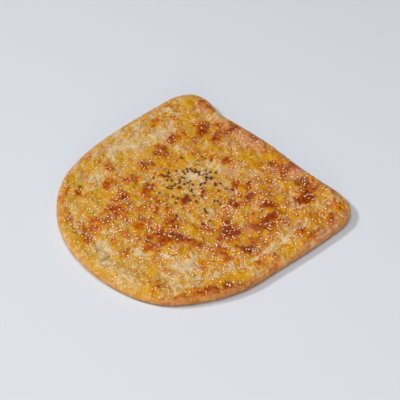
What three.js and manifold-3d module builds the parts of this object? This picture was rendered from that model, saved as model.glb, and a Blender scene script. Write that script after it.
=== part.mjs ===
// A stuffed flatbread, baked whole: a U-shaped cushion of dough, straight along one side and round
// on the opposite one. It lies flat, with a rolled rim, browned blisters, folds in the dough, a shallow
// vent mark in the middle, and sesame and nigella seeds baked into the top.
// Millimetres, +Z up. The origin is the middle of the base; the straight side faces +Y.

import * as THREE from 'three';
import { mergeVertices } from 'three/addons/utils/BufferGeometryUtils.js';
import Module from 'manifold-3d';

// ---- driving dimensions ----------------------------------------------------------------------

// The plan's outline, through which a smooth closed curve runs.
const outlinePoints = [
  [1, 129.5], [41, 126.5], [81, 125], // the straight side, a little wavy
  [107, 124], [127, 117], [136.5, 102], // first corner
  [138, 78], [133.5, 0], [129.5, -38], // one flank
  [114.5, -76], [91.5, -107], [56, -125.5], [6, -132.5], // the round end
  [-44, -123.5], [-84, -101], [-111, -71],
  [-126.5, -32], [-133.5, 8], [-138, 86], // the other flank
  [-136.5, 112], [-128, 128], [-108, 133.5], // second corner, pulled out into an ear
  [-91, 130], [-79, 126.5], [-49, 128], // a notch behind the ear
];

const dough = {
  halfSpan: 132, // typical distance from the middle to the edge, which insets are measured on
  shoulderHeight: 11.6, // top of the rounded edge, half way along the bread
  shoulderRise: 0.8, // how much higher it is at the straight side, and lower at the round end
  shoulderWidth: 11, // how far in the edge keeps rising
  shoulderPower: 2.1, // 2 is a quarter ellipse, more is squarer
  topInset: 0.7, // how far in the shoulder starts from the widest level
  crown: 2.2, // how much higher the middle is than the shoulder
  crownInset: 4, // where the crown starts to rise
  reliefInsets: [1, 10], // relief is faded out between these, so that the edge stays smooth
  gridCells: 42, // cells across the top, an even number
};

// The side wall, from below the base up: how far each level lies in from the outline, and its height.
const wallLevels = [
  { inset: 5.4, height: -1 },
  { inset: 0.9, height: 1.7 },
  { inset: 0, height: 4.3 },
];

// The rim is a soft roll inside the edge, parted from the middle by a crease.
const rim = { inset: 12, width: 9, height: 0.8 };
const rimCrease = { inset: 25, width: 4.5, depth: 1.0 };

// Rolled-up layers of dough that show as a line along the edge, round the first corner.
const layerLine = { x: 126, y: 84, length: 130, width: 60, turn: 105, inset: 4.6, lineWidth: 1.5, depth: 0.9 };

// The mark where the filled dough was vented.
const vent = { x: -10, y: 26, length: 28.8, width: 14.4, turn: 47, depth: 1.5 };
const ventLip = { length: 48, width: 24, height: 0.7 };

// Broad swells of the filling under the dough: x, y, radius, height.
const swells = [
  [-82, 84, 36, 1.1], [-70, 30, 30, 1.2], [84, 62, 34, 1.3], [40, 84, 26, 0.7],
  [30, -44, 32, 1.2], [82, -14, 28, 1.1], [-44, -52, 30, 1.0], [-92, -34, 26, 0.8],
  [46, -92, 28, 0.9], [-30, -94, 24, 0.8], [-24, 78, 30, 0.9], [52, 22, 24, 0.7],
];

// Blisters, which brown first: x, y, length, width, turn of the length in degrees, height. Their
// feet spread wider than the length and width that show.
const blisterSpread = 1.3;
const blisters = [
  [86, 91, 36, 14, 100, 1.5], [70, 104, 16, 10, -20, 0.9], [85, 42, 34, 15, 85, 1.6],
  [48, 50, 17, 10, 80, 1.0], [44, 28, 15, 12, 160, 1.2], [73, 2, 28, 14, 60, 1.4],
  [95, -2, 24, 11, 75, 1.0], [80, -25, 18, 14, 10, 1.1], [94, -26, 10, 9, 0, 0.8],
  [52, -15, 20, 12, 20, 1.0], [42, -46, 40, 14, 33, 1.7], [30, -58, 24, 16, 20, 1.4],
  [22, -36, 18, 12, 0, 1.0], [-34, -66, 30, 12, -12, 1.3], [-66, -47, 18, 13, -20, 1.0],
  [-38, -46, 20, 12, -20, 0.9], [-32, -24, 18, 14, -30, 1.0], [-56, -26, 18, 14, -20, 0.9],
  [-66, 28, 28, 18, -55, 1.5], [-75, 52, 22, 16, -50, 1.2], [-68, 88, 26, 18, -45, 1.6],
  [-44, 108, 12, 22, 0, 1.1], [-60, 110, 12, 12, 0, 0.8], [-114, 56, 18, 14, -60, 1.1],
  [-9, 71, 16, 16, 0, 1.1], [7, -4, 14, 9, 90, 1.0], [-28, -93, 22, 20, 0, 1.2],
  [-24, -109, 16, 9, -25, 1.1], [118, -52, 22, 14, 55, 1.0], [106, -72, 22, 14, 60, 1.0],
  [24, -96, 20, 14, 0, 0.9], [64, -88, 30, 16, 10, 1.0], [-63, -4, 18, 12, -40, 0.9],
];

// Folds in the dough, pressed in along a line through these points: depth, width, points.
const folds = [
  { depth: 1.5, width: 3.4, line: [[-62, -99], [-50, -103], [-40, -109], [-28, -111]] },
  { depth: 1.1, width: 3.2, line: [[84, -84], [95, -78], [101, -66], [99, -50], [104, -34]] },
  { depth: 1.1, width: 3.4, line: [[113, -8], [110, 12], [114, 28], [110, 44], [112, 62]] },
  { depth: 1.2, width: 3.6, line: [[-80, 122], [-74, 112], [-78, 100]] },
  { depth: 0.9, width: 3.4, line: [[-92, 68], [-84, 62], [-80, 40], [-90, 20]] },
  { depth: 0.8, width: 3.4, line: [[119, 13], [133, 12]] },
];

// Seeds at their real size: sunk is the share of the thickness that lies in the dough.
const sesame = { count: 108, gap: 14.5, length: 3.3, width: 2.1, thickness: 1.3, taper: 0.3, sunk: 0.3 };
const nigella = { count: 44, gap: 3.6, length: 3.1, width: 1.8, thickness: 1.6, taper: 0.15, sunk: 0.3 };
const seedSides = 6;
const seedSteps = 3;
const barrenEdge = 6; // no seed lies nearer to the edge
const chanceStart = 41; // starts the numbers that the seeds' places are drawn with

// Sesame lies all over and thins out towards the ear and the edge: shares of the places to keep.
const sesameSpread = { middle: 0.62, perX: 0.0028, perY: -0.0012, least: 0.25, fullInset: 22 };

// Nigella rings the vent, leaves it bare, and is strewn on the near side of it.
const nigellaRing = { radius: 17, width: 6, squash: 1.2 };
const nigellaBare = { radius: 9, squash: 1.6 };
const nigellaStrewn = { x: -4, y: 14, radius: 28, squash: 0.9, share: 0.55 };

// ---- the outline ------------------------------------------------------------------------------

const outlineSamples = 720;

// The edge's distance from the middle in every direction, as a list sorted by angle.
function measureOutline() {
  const corners = outlinePoints.map(([x, y]) => new THREE.Vector3(x, y, 0));
  const curve = new THREE.CatmullRomCurve3(corners, true, 'centripetal');
  const points = curve.getPoints(outlineSamples);
  const middle = new THREE.Box3().setFromPoints(points).getCenter(new THREE.Vector3());
  return points
    .map((point) => point.sub(middle))
    .map((point) => ({ angle: Math.atan2(point.y, point.x), radius: Math.hypot(point.x, point.y) }))
    .sort((a, b) => a.angle - b.angle);
}

const outline = measureOutline();

function edgeRadius(angle) {
  const after = outline.findIndex((sample) => sample.angle > angle);
  const next = outline[Math.max(after, 0)];
  const last = outline[(Math.max(after, 0) + outline.length - 1) % outline.length];
  const turn = 2 * Math.PI;
  const gap = (next.angle - last.angle + turn) % turn || turn;
  const share = ((angle - last.angle + turn) % turn) / gap;
  return last.radius + (next.radius - last.radius) * share;
}

// ---- the top's relief -------------------------------------------------------------------------

// A soft oval hump, 1 at its middle and 0 from about its edge outwards.
function hump(x, y, centreX, centreY, length, width, turn = 0) {
  const angle = THREE.MathUtils.degToRad(turn);
  const along = (x - centreX) * Math.cos(angle) + (y - centreY) * Math.sin(angle);
  const across = (y - centreY) * Math.cos(angle) - (x - centreX) * Math.sin(angle);
  const steepness = 2.2;
  return Math.exp(-steepness * ((2 * along / length) ** 2 + (2 * across / width) ** 2));
}

function distanceToLine(x, y, line) {
  const point = new THREE.Vector3(x, y, 0);
  const nearest = new THREE.Vector3();
  const distances = line.slice(1).map(([endX, endY], i) => {
    const start = new THREE.Vector3(line[i][0], line[i][1], 0);
    const stretch = new THREE.Line3(start, new THREE.Vector3(endX, endY, 0));
    return stretch.closestPointToPoint(point, true, nearest).distanceTo(point);
  });
  return Math.min(...distances);
}

function bell(distance, width) {
  return Math.exp(-((distance / width) ** 2));
}

// The height of the top at a place, inset millimetres in from the edge.
function topHeight(x, y, inset) {
  const rise = 1 - Math.min(inset / dough.shoulderWidth, 1);
  const round = (1 - rise ** dough.shoulderPower) ** (1 / dough.shoulderPower);
  const wallTop = wallLevels.at(-1).height;
  const shoulder = dough.shoulderHeight + dough.shoulderRise * y / dough.halfSpan;
  let height = wallTop + (shoulder - wallTop) * round;

  const inwards = THREE.MathUtils.smoothstep(inset, dough.crownInset, dough.halfSpan);
  height += dough.crown * Math.sqrt(inwards);
  height += rim.height * bell(inset - rim.inset, rim.width);
  height -= rimCrease.depth * bell(inset - rimCrease.inset, rimCrease.width);
  const { length, width, turn } = layerLine;
  const layered = hump(x, y, layerLine.x, layerLine.y, length, width, turn);
  height -= layerLine.depth * layered * bell(inset - layerLine.inset, layerLine.lineWidth);

  const fade = THREE.MathUtils.smoothstep(inset, ...dough.reliefInsets);
  let relief = 0;
  for (const [swellX, swellY, radius, swellHeight] of swells) {
    relief += swellHeight * hump(x, y, swellX, swellY, 2 * radius, 2 * radius);
  }
  for (const [blisterX, blisterY, long, wide, blisterTurn, blisterHeight] of blisters) {
    const foot = [long * blisterSpread, wide * blisterSpread];
    relief += blisterHeight * hump(x, y, blisterX, blisterY, ...foot, blisterTurn);
  }
  for (const fold of folds) {
    relief -= fold.depth * bell(distanceToLine(x, y, fold.line), fold.width);
  }
  const hole = hump(x, y, vent.x, vent.y, vent.length, vent.width, vent.turn);
  const lip = hump(x, y, vent.x, vent.y, ventLip.length, ventLip.width, vent.turn);
  relief += ventLip.height * lip - (vent.depth + ventLip.height) * hole;
  return height + relief * fade;
}

// ---- the dough --------------------------------------------------------------------------------

// How far out a ring of the square grid lies, 0 in the middle and 1 at the edge: evenly spaced inside,
// and closer together where the edge turns over.
function reachOfRing(ring) {
  const crowding = 0.097;
  const onset = 8;
  return (ring - crowding * ring ** onset) / (1 - crowding);
}

// A square cushion of small cells is drawn out to the outline. Its four corners fall on the
// bread's two corners and on the sides of its round end.
function makeDough() {
  const levels = wallLevels.length;
  const geometry = new THREE.BoxGeometry(2, 2, levels, dough.gridCells, dough.gridCells, levels);
  const position = geometry.getAttribute('position');
  for (let i = 0; i < position.count; i += 1) {
    const x = position.getX(i);
    const y = position.getY(i);
    const level = Math.round(position.getZ(i) + levels / 2);
    const ring = Math.max(Math.abs(x), Math.abs(y));
    const angle = Math.atan2(y, x);
    const onTop = level === levels;
    const wall = wallLevels[Math.min(level, levels - 1)];

    const edgeInset = onTop ? dough.topInset : wall.inset;
    const inset = dough.halfSpan * (1 - reachOfRing(ring)) + edgeInset;
    const radius = edgeRadius(angle) * (1 - inset / dough.halfSpan) * (ring > 0 ? 1 : 0);
    const placeX = radius * Math.cos(angle);
    const placeY = radius * Math.sin(angle);
    position.setXYZ(i, placeX, placeY, onTop ? topHeight(placeX, placeY, inset) : wall.height);
  }
  return geometry;
}

// ---- the seeds --------------------------------------------------------------------------------

// A small repeatable generator of numbers from 0 to 1.
function makeRandom(seed) {
  const range = 2 ** 32;
  let state = seed;
  return () => {
    state = (state * 1664525 + 1013904223) % range;
    return state / range;
  };
}

// A pointed oval, longer than wide, lying along Y.
function makeSeed({ length, width, thickness, taper }) {
  const geometry = new THREE.SphereGeometry(1, seedSides, seedSteps);
  const position = geometry.getAttribute('position');
  for (let i = 0; i < position.count; i += 1) {
    const along = position.getY(i);
    const slim = 1 - taper * along;
    const x = position.getX(i) * slim * width / 2;
    position.setXYZ(i, x, along * length / 2, position.getZ(i) * slim * thickness / 2);
  }
  return geometry;
}

function sesameShare(x, y, inset) {
  const { middle, perX, perY, least, fullInset } = sesameSpread;
  const side = THREE.MathUtils.clamp(middle + perX * x + perY * y, least, 1);
  return side * THREE.MathUtils.smoothstep(inset, barrenEdge, fullInset);
}

function nigellaShare(x, y) {
  const distance = (place, squash) => Math.hypot(x - place.x, (y - place.y) * squash);
  if (distance(vent, nigellaBare.squash) < nigellaBare.radius) {
    return 0;
  }
  const ring = bell(distance(vent, nigellaRing.squash) - nigellaRing.radius, nigellaRing.width);
  const strewn = bell(distance(nigellaStrewn, nigellaStrewn.squash), nigellaStrewn.radius);
  return ring + nigellaStrewn.share * strewn;
}

// Places drawn at random, each kept if its share allows it and if it is clear of the others.
function scatter({ count, gap }, share, random, taken) {
  const mostTries = 200000;
  const places = [];
  for (let tries = 0; places.length < count && tries < mostTries; tries += 1) {
    const x = (2 * random() - 1) * dough.halfSpan;
    const y = (2 * random() - 1) * dough.halfSpan;
    const inset = dough.halfSpan * (1 - Math.hypot(x, y) / edgeRadius(Math.atan2(y, x)));
    const free = (place) => Math.hypot(x - place.x, y - place.y) > gap;
    const clear = (place) => Math.hypot(x - place.x, y - place.y) > sesame.length;
    const lucky = random() < share(x, y, inset);
    if (inset > barrenEdge && lucky && places.every(free) && taken.every(clear)) {
      places.push({ x, y, turn: random() * Math.PI * 2 });
    }
  }
  return places;
}

// Lays a seed on the dough at each place, flat against the slope there.
function laySeeds(kind, places, doughMesh) {
  const overhead = 50;
  const down = new THREE.Vector3(0, 0, -1);
  const up = new THREE.Vector3(0, 0, 1);
  return places.map(({ x, y, turn }) => {
    const ray = new THREE.Raycaster(new THREE.Vector3(x, y, overhead), down);
    const [hit] = ray.intersectObject(doughMesh);
    const tilt = new THREE.Quaternion().setFromUnitVectors(up, hit.face.normal);
    const spin = new THREE.Quaternion().setFromAxisAngle(up, turn);
    const lift = kind.thickness * (0.5 - kind.sunk);
    const place = hit.point.clone().addScaledVector(hit.face.normal, lift);
    const matrix = new THREE.Matrix4().compose(place, tilt.multiply(spin), new THREE.Vector3(1, 1, 1));
    return makeSeed(kind).applyMatrix4(matrix);
  });
}

// ---- joining ----------------------------------------------------------------------------------

const wasm = await Module();
wasm.setup();

function toSolid(geometry) {
  const bare = geometry.clone();
  bare.deleteAttribute('normal');
  bare.deleteAttribute('uv');
  const merged = mergeVertices(bare, 1e-4);
  return new wasm.Manifold(new wasm.Mesh({
    numProp: 3,
    vertProperties: new Float32Array(merged.getAttribute('position').array),
    triVerts: new Uint32Array(merged.getIndex().array),
  }));
}

function toGeometry(solid) {
  const mesh = solid.getMesh();
  const geometry = new THREE.BufferGeometry();
  geometry.setAttribute('position', new THREE.BufferAttribute(mesh.vertProperties, 3));
  geometry.setIndex(new THREE.BufferAttribute(mesh.triVerts, 1));
  geometry.computeVertexNormals();
  return geometry;
}

// ---- the flatbread ----------------------------------------------------------------------------

function makeFlatbread() {
  const doughGeometry = makeDough();
  const doughMesh = new THREE.Mesh(doughGeometry);
  const random = makeRandom(chanceStart);
  const nigellaPlaces = scatter(nigella, nigellaShare, random, []);
  const sesamePlaces = scatter(sesame, sesameShare, random, nigellaPlaces);
  const seeds = [
    ...laySeeds(nigella, nigellaPlaces, doughMesh),
    ...laySeeds(sesame, sesamePlaces, doughMesh),
  ];
  const room = { width: 400, height: 100 }; // above the base, which cuts the dough off flat
  const space = new THREE.BoxGeometry(room.width, room.width, room.height).translate(0, 0, room.height / 2);
  const flatDough = toSolid(doughGeometry).intersect(toSolid(space));
  const solid = seeds.reduce((body, seed) => body.add(toSolid(seed)), flatDough);

  const crust = new THREE.MeshStandardMaterial({ color: 0xd9a04a, roughness: 0.45, metalness: 0 });
  const mesh = new THREE.Mesh(toGeometry(solid), crust);
  mesh.name = 'flatbread';
  return mesh;
}

const group = new THREE.Group();
group.add(makeFlatbread());

export default group;
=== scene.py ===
import math

import bpy
import numpy as np
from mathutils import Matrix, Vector, noise
from mathutils.bvhtree import BVHTree
from mathutils.kdtree import KDTree


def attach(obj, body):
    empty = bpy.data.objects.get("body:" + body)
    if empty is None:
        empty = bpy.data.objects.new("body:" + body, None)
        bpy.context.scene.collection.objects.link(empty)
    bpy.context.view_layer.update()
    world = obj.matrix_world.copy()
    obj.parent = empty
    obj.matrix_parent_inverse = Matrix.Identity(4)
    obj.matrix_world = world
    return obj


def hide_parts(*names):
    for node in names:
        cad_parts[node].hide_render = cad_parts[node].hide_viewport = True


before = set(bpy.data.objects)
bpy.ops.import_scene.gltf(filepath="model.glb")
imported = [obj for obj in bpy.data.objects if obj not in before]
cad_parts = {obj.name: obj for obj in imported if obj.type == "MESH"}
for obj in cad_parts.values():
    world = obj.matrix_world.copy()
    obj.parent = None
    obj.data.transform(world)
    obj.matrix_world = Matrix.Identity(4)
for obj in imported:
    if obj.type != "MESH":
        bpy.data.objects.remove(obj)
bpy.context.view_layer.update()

mm = 0.001  # sizes below are in millimetres wherever they are multiplied by this

view = {
    "lens": 70,
    "sensor": 36,
    "nearest": 0.01,  # anything closer isn't drawn
    "distance": 0.8167,
    "aim": (0.0085, 0.0159, 0),
    "azimuth": 47.5,  # 0 looks along +Y, 90 along -X
    "elevation": 44,
}


def standBack(azimuth, elevation, distance):
    a, e = math.radians(azimuth), math.radians(elevation)
    return Vector((math.sin(a) * math.cos(e), -math.cos(a) * math.cos(e), math.sin(e))) * distance


def lookBack(thing, back):  # turns a camera or a lamp to look back along its way out
    thing.rotation_mode = "QUATERNION"
    thing.rotation_quaternion = (-back).to_track_quat("-Z", "Y")


def makeCamera():
    back = standBack(view["azimuth"], view["elevation"], view["distance"])
    bpy.ops.object.camera_add(location=Vector(view["aim"]) + back)
    camera = bpy.context.object
    camera.name = "camera"
    lookBack(camera, back)
    camera.data.lens = view["lens"]
    camera.data.sensor_width = view["sensor"]
    camera.data.clip_start = view["nearest"]
    bpy.context.scene.camera = camera


light = {
    "key": {"azimuth": -54, "elevation": 41, "distance": 8, "size": 1.7, "power": 385, "color": (1, 1, 1)},
    "top": {"azimuth": 20, "elevation": 80, "distance": 2.2, "size": 1.5, "power": 22, "color": (1, 1, 1)},
    "fill": {
        "azimuth": 50, "elevation": 5, "distance": 2.2, "size": 1.4, "power": 32, "color": (1, 0.95, 0.88),
    },
}

sky = {"color": (1.0, 0.97, 0.93), "strength": 0.16}


def makeLight(name):
    lamp = light[name]
    back = standBack(lamp["azimuth"], lamp["elevation"], lamp["distance"])
    bpy.ops.object.light_add(type="AREA", location=back)
    area = bpy.context.object
    area.name = name + "Light"
    lookBack(area, back)
    area.data.shape = "DISK"
    area.data.size = lamp["size"]
    area.data.energy = lamp["power"]
    area.data.color = lamp["color"]


def makeSky():
    world = bpy.data.worlds.new("softSky")
    world.use_nodes = True
    background = world.node_tree.nodes["Background"]
    background.inputs["Color"].default_value = (*sky["color"], 1)
    background.inputs["Strength"].default_value = sky["strength"]
    bpy.context.scene.world = world
    bpy.context.scene.view_settings.view_transform = "Standard"


class Wire:  # an output socket that takes part in plain arithmetic
    def __init__(self, socket):
        self.socket = socket

    def maths(self, operation, first, second=None):
        tree = self.socket.id_data
        step = tree.nodes.new("ShaderNodeMath")
        step.operation = operation
        for socket, value in zip(step.inputs, (first, second)):
            if value is not None:
                plug(tree, socket, value)
        return Wire(step.outputs[0])

    def __add__(self, other):
        return self.maths("ADD", self, other)

    def __radd__(self, other):
        return self.maths("ADD", other, self)

    def __sub__(self, other):
        return self.maths("SUBTRACT", self, other)

    def __rsub__(self, other):
        return self.maths("SUBTRACT", other, self)

    def __mul__(self, other):
        return self.maths("MULTIPLY", self, other)

    def __rmul__(self, other):
        return self.maths("MULTIPLY", other, self)

    def amount(self):
        return self.maths("ABSOLUTE", self)

    def clamp(self):
        return self.maths("MINIMUM", self.maths("MAXIMUM", self, 0.0), 1.0)


def plug(tree, socket, value):
    if isinstance(value, Wire):
        tree.links.new(value.socket, socket)
    else:
        socket.default_value = value


class Finish:  # one material and its nodes
    def __init__(self, name):
        self.material = bpy.data.materials.new(name)
        self.material.use_nodes = True
        self.tree = self.material.node_tree
        self.shader = self.tree.nodes["Principled BSDF"]
        self.place = self.node("ShaderNodeTexCoord", out="Object")

    def node(self, kind, settings=None, sockets=None, out=0):
        made = self.tree.nodes.new(kind)
        for name, value in (settings or {}).items():
            if name == "stops":
                self.stops(made.color_ramp, value)
            else:
                setattr(made, name, value)
        for name, value in (sockets or {}).items():
            plug(self.tree, made.inputs[name], value)
        return Wire(made.outputs[out])

    def stops(self, ramp, stops):
        while len(ramp.elements) < len(stops):
            ramp.elements.new(0.5)
        for element, (place, color) in zip(ramp.elements, stops):
            element.position = place
            element.color = color

    def attribute(self, name, out="Fac"):
        return self.node("ShaderNodeAttribute", {"attribute_name": name}, out=out)

    def noise(self, size, detail, roughness, distortion=0.0, variant=0.0, place=None):
        sockets = {"Vector": place or self.place, "Scale": 1 / size, "Detail": detail,
                   "Roughness": roughness, "Distortion": distortion, "W": variant}
        return self.node("ShaderNodeTexNoise", {"noise_dimensions": "4D"}, sockets)

    def step(self, value, low, high):  # 0 below low, 1 above high, smooth between
        settings = {"interpolation_type": "SMOOTHSTEP"}
        sockets = {"Value": value, "From Min": low, "From Max": high}
        return self.node("ShaderNodeMapRange", settings, sockets)

    def pattern(self, size, detail, roughness, distortion, variant, low, high):
        return self.step(self.noise(size * mm, detail, roughness, distortion, variant), low, high)

    def ramp(self, value, stops):
        return self.node("ShaderNodeValToRGB", {"stops": stops}, {"Fac": value})

    def mix(self, share, first, second):
        return self.node("ShaderNodeMix", {"data_type": "RGBA"}, {0: share, 6: first, 7: second}, out=2)

    def feed(self, **values):  # to the shader's own sockets, spelled with _ for a space
        for name, value in values.items():
            plug(self.tree, self.shader.inputs[name.replace("_", " ")], value)

    def bump(self, height, depth, strength):
        sockets = {"Height": height, "Distance": depth, "Strength": strength}
        return self.node("ShaderNodeBump", {}, sockets)


def paint(red, green, blue):  # a colour as it shows on a screen, 0 to 255, to the shader's own
    linear = [((c / 255 + 0.055) / 1.055) ** 2.4 if c > 10 else c / 255 / 12.92 for c in (red, green, blue)]
    return (*linear, 1.0)


floor = {"size": 30, "color": (215, 219, 227), "roughness": 0.6, "shine": 0.2}


def makeFloor():
    bpy.ops.mesh.primitive_plane_add(size=floor["size"], location=(0, 0, 0))
    plane = bpy.context.object
    plane.name = "floor"
    finish = Finish("paleFloor")
    finish.feed(Base_Color=paint(*floor["color"]), Roughness=floor["roughness"])
    finish.feed(Specular_IOR_Level=floor["shine"])
    plane.data.materials.append(finish.material)


# The dough's form. An inset is the distance in from the edge.
dough = {
    "cells": 264,  # across the top
    "halfSpan": 132,
    "crowding": 0.097,  # how much closer the cells lie at the edge
    "shoulderHeight": 11.6,
    "shoulderRise": 0.8,  # higher at the straight side, lower at the round end
    "shoulderWidth": 11,
    "shoulderPower": 2.1,
    "crown": 2.2,
    "crownInset": 4,
    "lip": 0.35,  # inset of the top's outermost ring
    "wall": [(0.0, 4.3), (0.25, 3.0), (0.9, 1.7), (2.1, 0.6), (3.6, 0.0)],  # inset and height, downwards
    "under": [0.93, 0.8, 0.6, 0.35, 0.12],  # rings of the underside, as shares of the span
    "underLift": 0.35,  # how far the underside's dents rise
    "underDent": 11,
    "knee": 14.0,  # heights above it are pressed in under the ceiling
    "ceiling": 14.9,  # the dough's own top, which leaves room for the seeds on it
}

# where the edge lies a little further out or in: direction and spread in degrees, and how far
edgeShifts = [(47.5, 9, 2.0), (-58, 36, -2.4)]

rim = {"inset": 12, "width": 9, "height": 0.8}
rimCrease = {"inset": 25, "width": 4.5, "depth": 1.0}
vent = {"x": -10, "y": 26, "length": 24, "width": 12, "turn": 47, "depth": 1.5, "lip": 0.7}

# layers of the rolled corner, which show as lines along the edge
layerLine = {
    "x": 126, "y": 84, "length": 130, "width": 60, "turn": 105,
    "insets": (2.6, 5.2, 8.4), "thickness": 0.7, "depth": 0.7,
}

# Waves are given as height, size and seed.
skin = {  # the fine relief of the top
    "browned": 0.9,
    "puffed": 1.3,
    "settled": 1.7,
    "foldPress": 1.3,
    "waves": [(1.0, 17, 1), (1.2, 7.5, 2), (0.7, 4.2, 3), (0.3, 2.1, 4)],
    "inset": (0.2, 6),  # where it fades in
    "edgeWaves": [(0.4, 2.8, 5)],
    "edgeInset": (0.2, 1.5, 5, 16),  # where the edge's own waves fade in and out
}

# how ragged the edge is: its waves run round the bread, so their sizes are in radians
raggedEdge = {"depth": 1.3, "waves": [(0.4, 0.045, 8), (0.25, 0.018, 18)], "perLevel": 0.06, "inset": (2, 14)}

# small puffs between creases, and the drawn-out strands of the rolled edge
puffs = {"size": 9, "seed": 15, "lean": 0.2, "squash": 0.62, "rise": (0.02, 0.42)}
strand = {"length": 13, "thickness": 2.0, "perLevel": 0.7}

# how far the outlines of the patches wander
wanderX = [(2.4, 9, 11), (1.1, 3.6, 12)]
wanderY = [(2.4, 9, 13), (1.1, 3.6, 14)]

# broad swells of the filling: x, y, radius, height
swells = [
    (-82, 84, 36, 1.1), (-70, 30, 30, 1.2), (84, 62, 34, 1.3), (40, 84, 26, 0.7), (30, -44, 32, 1.2),
    (82, -14, 28, 1.1), (-44, -52, 30, 1.0), (-92, -34, 26, 0.8), (46, -92, 28, 0.9), (-30, -94, 24, 0.8),
    (-24, 78, 30, 0.9), (52, 22, 24, 0.7),
]

# folds pressed into the dough: depth, width, points
folds = [
    (1.5, 2.2, [(-62, -99), (-50, -103), (-40, -109), (-28, -111)]),
    (1.1, 2.4, [(84, -84), (95, -78), (101, -66), (99, -50), (104, -34)]),
    (1.1, 2.6, [(113, -8), (110, 12), (114, 28), (110, 44), (112, 62)]),
    (1.2, 2.6, [(-80, 122), (-74, 112), (-78, 100)]),
    (0.9, 2.6, [(-92, 68), (-84, 62), (-80, 40), (-90, 20)]),
    (0.8, 2.2, [(119, 13), (133, 12)]),
    (0.8, 2.0, [(60, -86), (76, -86), (84, -89), (92, -92)]),
    (0.8, 2.0, [(-119, 8), (-110, -10), (-103, -22), (-96, -34)]),
    (0.7, 1.8, [(-100, 70), (-90, 62), (-80, 58)]),
    (0.7, 1.8, [(70, 86), (77, 80), (86, 73)]),
]

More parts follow.
